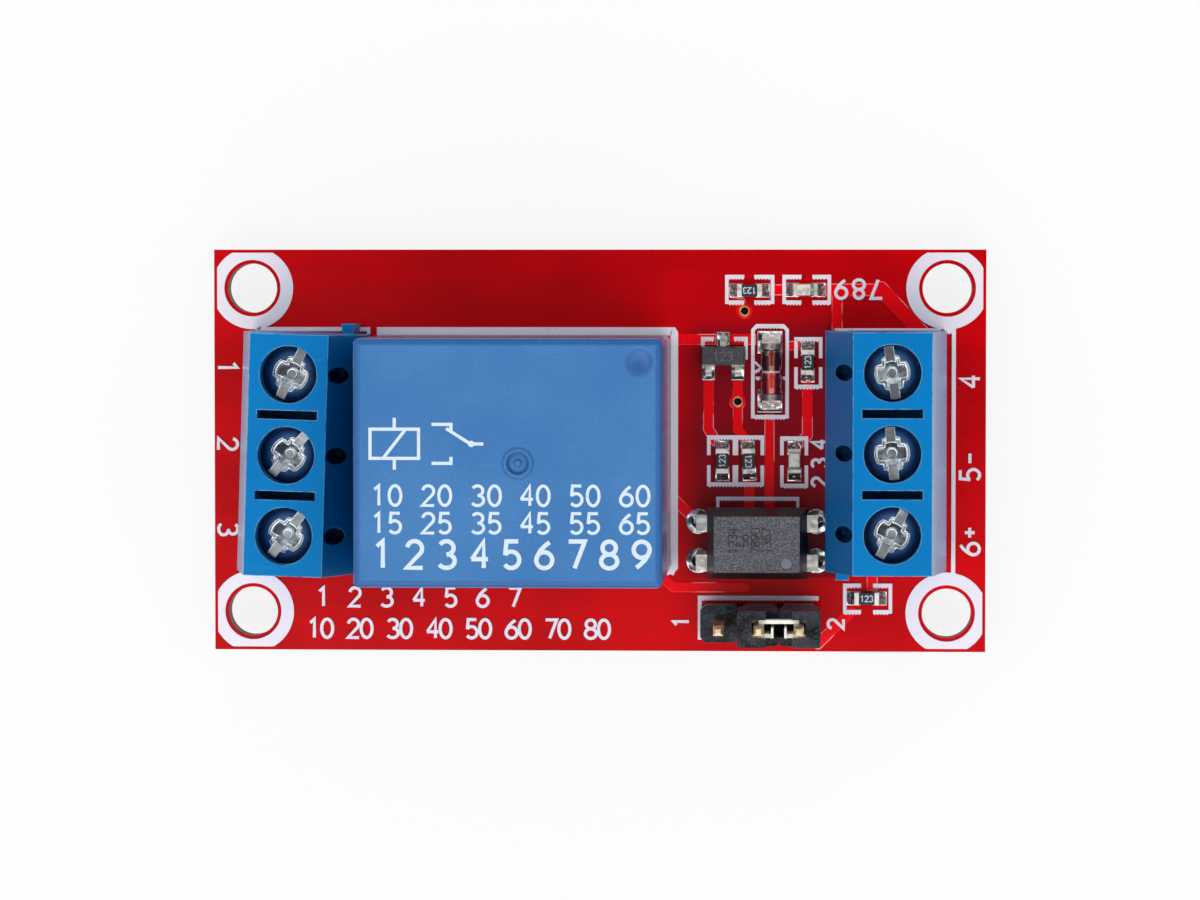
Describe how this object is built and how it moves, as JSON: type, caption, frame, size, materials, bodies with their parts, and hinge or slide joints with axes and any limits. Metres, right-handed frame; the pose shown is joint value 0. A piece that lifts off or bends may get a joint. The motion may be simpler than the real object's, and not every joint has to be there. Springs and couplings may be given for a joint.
{
  "type": "relay module board",
  "caption": "Small red circuit board with a blue box relay, two blue screw terminal blocks, an optocoupler, indicator lamps and a jumper.",
  "frame": {"origin": "centre of the rectangle of four mounting holes, on the underside of the board", "axes": "+X along the board towards the input terminal, +Y across the board towards the transistor and lamps, +Z out of the component side"},
  "size_m": [0.05, 0.026, 0.0185],
  "materials": {
    "solder_mask": "red solder mask on glass fibre board, glossy",
    "masked_copper": "copper track under the red mask",
    "tin": "tinned metal",
    "solder": "bright tin solder",
    "relay_blue": "moulded blue plastic, satin",
    "black_plastic": "black moulded base",
    "bobbin_plastic": "natural nylon",
    "enamelled_wire": "enamelled copper wire",
    "plated_iron": "zinc-plated soft iron",
    "spring_bronze": "spring bronze",
    "contact_silver": "silver alloy",
    "terminal_blue": "moulded blue nylon, satin",
    "tinned_brass": "tinned brass",
    "clamp_metal": "tinned spring leaf",
    "screw_nickel": "nickel-plated steel",
    "header_plastic": "charcoal glass-filled plastic",
    "pin_metal": "gold-flashed brass",
    "moulded_grey": "moulded epoxy, fine grain",
    "moulded_black": "moulded epoxy",
    "amber_glass": "orange glass",
    "slug_metal": "dark metal slugs",
    "resistor_black": "black glaze on ceramic",
    "lamp_white": "white substrate",
    "lamp_lens": "clear milky lens"
  },
  "bodies": {
    "board": {"circuit_board": "solder_mask", "copper_tracks": "masked_copper", "solder_pads": "tin", "solder_fillets": "solder", "solder_joints": "solder", "relay_cover": "relay_blue", "relay_base": "black_plastic", "coil_bobbin": "bobbin_plastic", "coil_winding": "enamelled_wire", "coil_core": "plated_iron", "relay_yoke": "plated_iron", "normally_open_contact": "spring_bronze", "normally_closed_contact": "spring_bronze", "common_pin": "tin", "coil_pins": "tin", "output_housing": "terminal_blue", "output_contact_frames": "tinned_brass", "input_housing": "terminal_blue", "input_contact_frames": "tinned_brass", "header_strip": "header_plastic", "header_pins": "pin_metal", "optocoupler_body": "moulded_grey", "optocoupler_leads": "tin", "transistor_body": "moulded_black", "transistor_leads": "tin", "diode_glass": "amber_glass", "diode_slugs": "slug_metal", "diode_caps": "tin", "resistor_1": "resistor_black", "resistor_2": "resistor_black", "resistor_3": "resistor_black", "resistor_4": "resistor_black", "resistor_5": "resistor_black", "chip_ends": "tin", "power_lamp_base": "lamp_white", "power_lamp_lens": "lamp_lens", "relay_lamp_base": "lamp_white", "relay_lamp_lens": "lamp_lens"},
    "relay_armature": {"armature": "plated_iron", "contact_spring": "spring_bronze", "moving_contact": "contact_silver"},
    "jumper": {"jumper_housing": "header_plastic", "jumper_clip": "pin_metal"},
    "output_clamp_1": {"output_clamp_1": "clamp_metal"},
    "output_screw_1": {"output_screw_1": "screw_nickel"},
    "output_clamp_2": {"output_clamp_2": "clamp_metal"},
    "output_screw_2": {"output_screw_2": "screw_nickel"},
    "output_clamp_3": {"output_clamp_3": "clamp_metal"},
    "output_screw_3": {"output_screw_3": "screw_nickel"},
    "input_clamp_1": {"input_clamp_1": "clamp_metal"},
    "input_screw_1": {"input_screw_1": "screw_nickel"},
    "input_clamp_2": {"input_clamp_2": "clamp_metal"},
    "input_screw_2": {"input_screw_2": "screw_nickel"},
    "input_clamp_3": {"input_clamp_3": "clamp_metal"},
    "input_screw_3": {"input_screw_3": "screw_nickel"}
  },
  "joints": [
    {"name": "output_clamp_1_travel", "type": "slide", "parent": "board", "child": "output_clamp_1", "axis": [0, 0, -1], "range_m": [-0.0008, 0.0017]},
    {"name": "output_screw_1_turn", "type": "hinge", "parent": "output_clamp_1", "child": "output_screw_1", "pos_m": [-0.01906, 0.00513, 0.0088], "axis": [0, 0, -1], "range_deg": [-576, 1224]},
    {"name": "output_clamp_2_travel", "type": "slide", "parent": "board", "child": "output_clamp_2", "axis": [0, 0, -1], "range_m": [-0.0008, 0.0017]},
    {"name": "output_screw_2_turn", "type": "hinge", "parent": "output_clamp_2", "child": "output_screw_2", "pos_m": [-0.01922, 0.00005, 0.0088], "axis": [0, 0, -1], "range_deg": [-576, 1224]},
    {"name": "output_clamp_3_travel", "type": "slide", "parent": "board", "child": "output_clamp_3", "axis": [0, 0, -1], "range_m": [-0.0008, 0.0017]},
    {"name": "output_screw_3_turn", "type": "hinge", "parent": "output_clamp_3", "child": "output_screw_3", "pos_m": [-0.01938, -0.00503, 0.0088], "axis": [0, 0, -1], "range_deg": [-576, 1224]},
    {"name": "input_clamp_1_travel", "type": "slide", "parent": "board", "child": "input_clamp_1", "axis": [0, 0, -1], "range_m": [-0.0008, 0.0017]},
    {"name": "input_screw_1_turn", "type": "hinge", "parent": "input_clamp_1", "child": "input_screw_1", "pos_m": [0.01883, -0.00491, 0.0088], "axis": [0, 0, -1], "range_deg": [-576, 1224]},
    {"name": "input_clamp_2_travel", "type": "slide", "parent": "board", "child": "input_clamp_2", "axis": [0, 0, -1], "range_m": [-0.0008, 0.0017]},
    {"name": "input_screw_2_turn", "type": "hinge", "parent": "input_clamp_2", "child": "input_screw_2", "pos_m": [0.01883, 0.00017, 0.0088], "axis": [0, 0, -1], "range_deg": [-576, 1224]},
    {"name": "input_clamp_3_travel", "type": "slide", "parent": "board", "child": "input_clamp_3", "axis": [0, 0, -1], "range_m": [-0.0008, 0.0017]},
    {"name": "input_screw_3_turn", "type": "hinge", "parent": "input_clamp_3", "child": "input_screw_3", "pos_m": [0.01883, 0.00525, 0.0088], "axis": [0, 0, -1], "range_deg": [-576, 1224]},
    {"name": "armature_pull", "type": "hinge", "parent": "board", "child": "relay_armature", "pos_m": [0.00275, -0.0002, 0.01286], "axis": [0, -1, 0], "range_deg": [0, 2.35], "stiffness_Nm_per_rad": 0.002, "springref_deg": -28.65},
    {"name": "jumper_pull", "type": "slide", "parent": "board", "child": "jumper", "axis": [0, 0, 1], "range_m": [0, 0.0075]}
  ],
  "couplings": [
    {"joint": "output_screw_1_turn", "follows": "output_clamp_1_travel", "rad_per_m": 12566},
    {"joint": "output_screw_2_turn", "follows": "output_clamp_2_travel", "rad_per_m": 12566},
    {"joint": "output_screw_3_turn", "follows": "output_clamp_3_travel", "rad_per_m": 12566},
    {"joint": "input_screw_1_turn", "follows": "input_clamp_1_travel", "rad_per_m": 12566},
    {"joint": "input_screw_2_turn", "follows": "input_clamp_2_travel", "rad_per_m": 12566},
    {"joint": "input_screw_3_turn", "follows": "input_clamp_3_travel", "rad_per_m": 12566}
  ]
}
